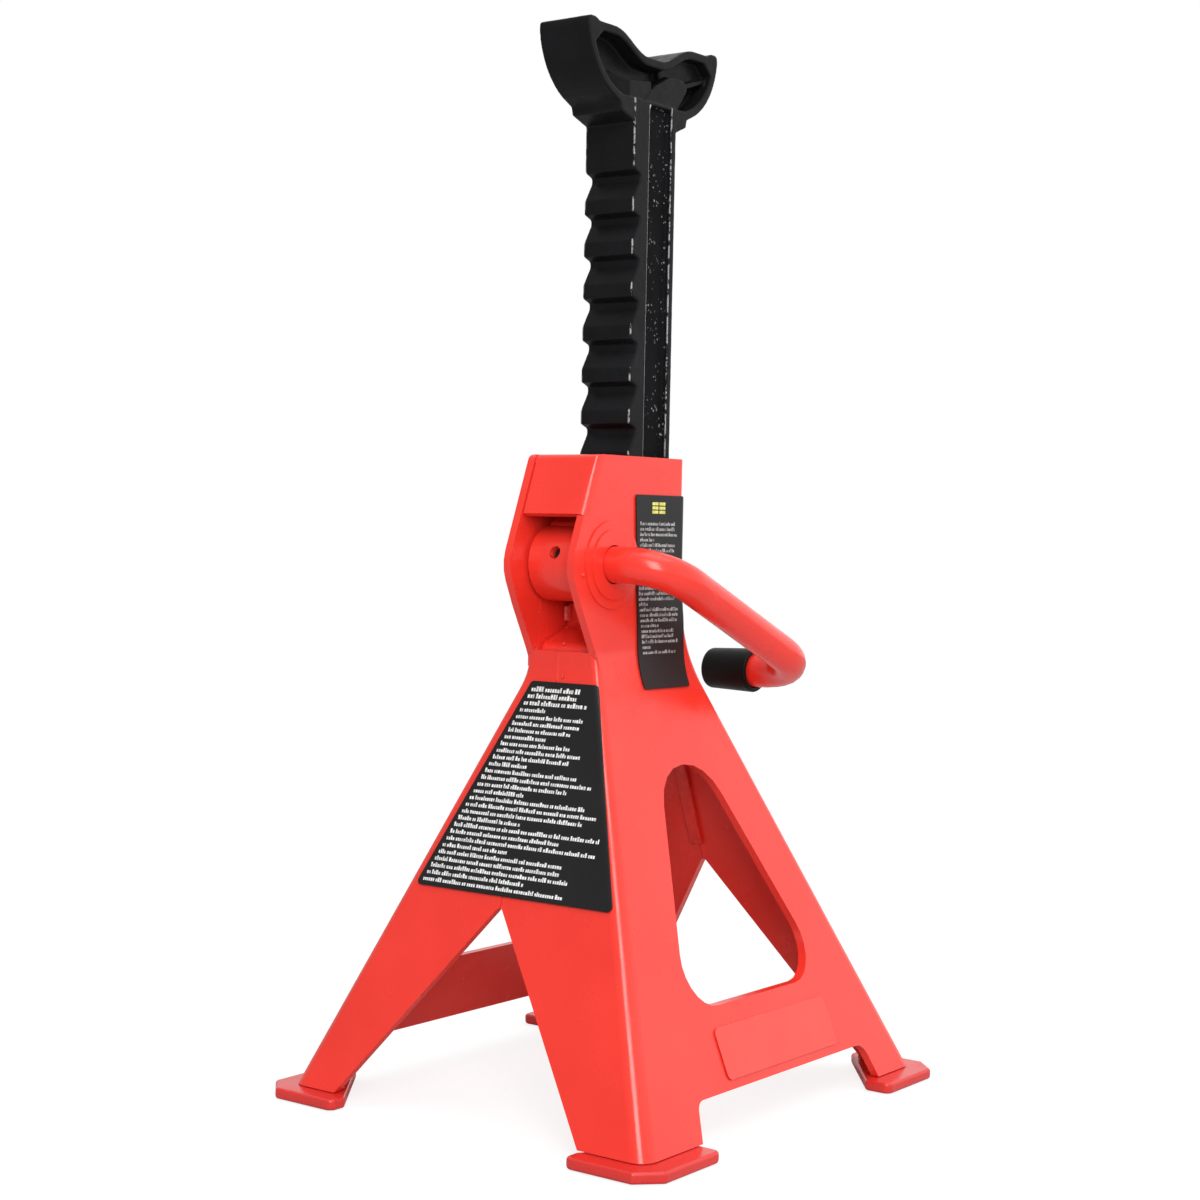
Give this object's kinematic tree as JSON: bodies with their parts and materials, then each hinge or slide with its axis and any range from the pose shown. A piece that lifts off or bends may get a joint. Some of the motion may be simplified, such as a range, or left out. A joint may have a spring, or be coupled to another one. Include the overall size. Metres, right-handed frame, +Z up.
{
  "type": "axle jack stand",
  "caption": "Ratchet axle jack stand: pressed steel base on splayed legs, toothed post with a curved saddle, and a pawl on a bent handle.",
  "frame": {"origin": "on the ground, under the middle of the outline's box", "axes": "+Z up the post; +X along the longer side of the base, towards the handle's grip; -Y is the side the handle leaves the neck on"},
  "size_m": [0.189, 0.172, 0.382],
  "materials": {
    "red_paint": "gloss powder coat",
    "black_casting": "satin black paint over rough casting",
    "plated_steel": "zinc plated",
    "black_grip": "dipped, smooth",
    "black_label": "printed film",
    "clear_film": "thin clear film over red"
  },
  "bodies": {
    "frame": {"front_half_frame": "red_paint", "rear_half_frame": "red_paint", "foot_plate_front_left": "red_paint", "foot_plate_front_right": "red_paint", "foot_plate_rear_left": "red_paint", "foot_plate_rear_right": "red_paint", "foot_weld_front_left": "red_paint", "foot_weld_front_right": "red_paint", "foot_weld_rear_left": "red_paint", "foot_weld_rear_right": "red_paint", "seam_weld_left": "red_paint", "seam_weld_right": "red_paint", "post_guide_plate": "red_paint", "guide_weld_rear": "red_paint", "guide_weld_front": "red_paint", "main_label": "black_label", "side_label": "black_label", "crossbar_film": "clear_film"},
    "post": {"ratchet_post": "black_casting"},
    "pawl_handle": {"pawl": "red_paint", "spring_pin": "plated_steel", "handle_rod": "red_paint", "grip_cap": "black_grip", "rod_washer": "plated_steel", "retaining_clip": "plated_steel"}
  },
  "joints": [
    {"name": "post_slide", "type": "slide", "parent": "frame", "child": "post", "axis": [0, 0, 1], "range_m": [-0.1057, 0.0302]},
    {"name": "handle_lift", "type": "hinge", "parent": "frame", "child": "pawl_handle", "pos_m": [-0.0265, 0, 0.192], "axis": [0, -1, 0], "range_deg": [-10.5, 55]}
  ]
}
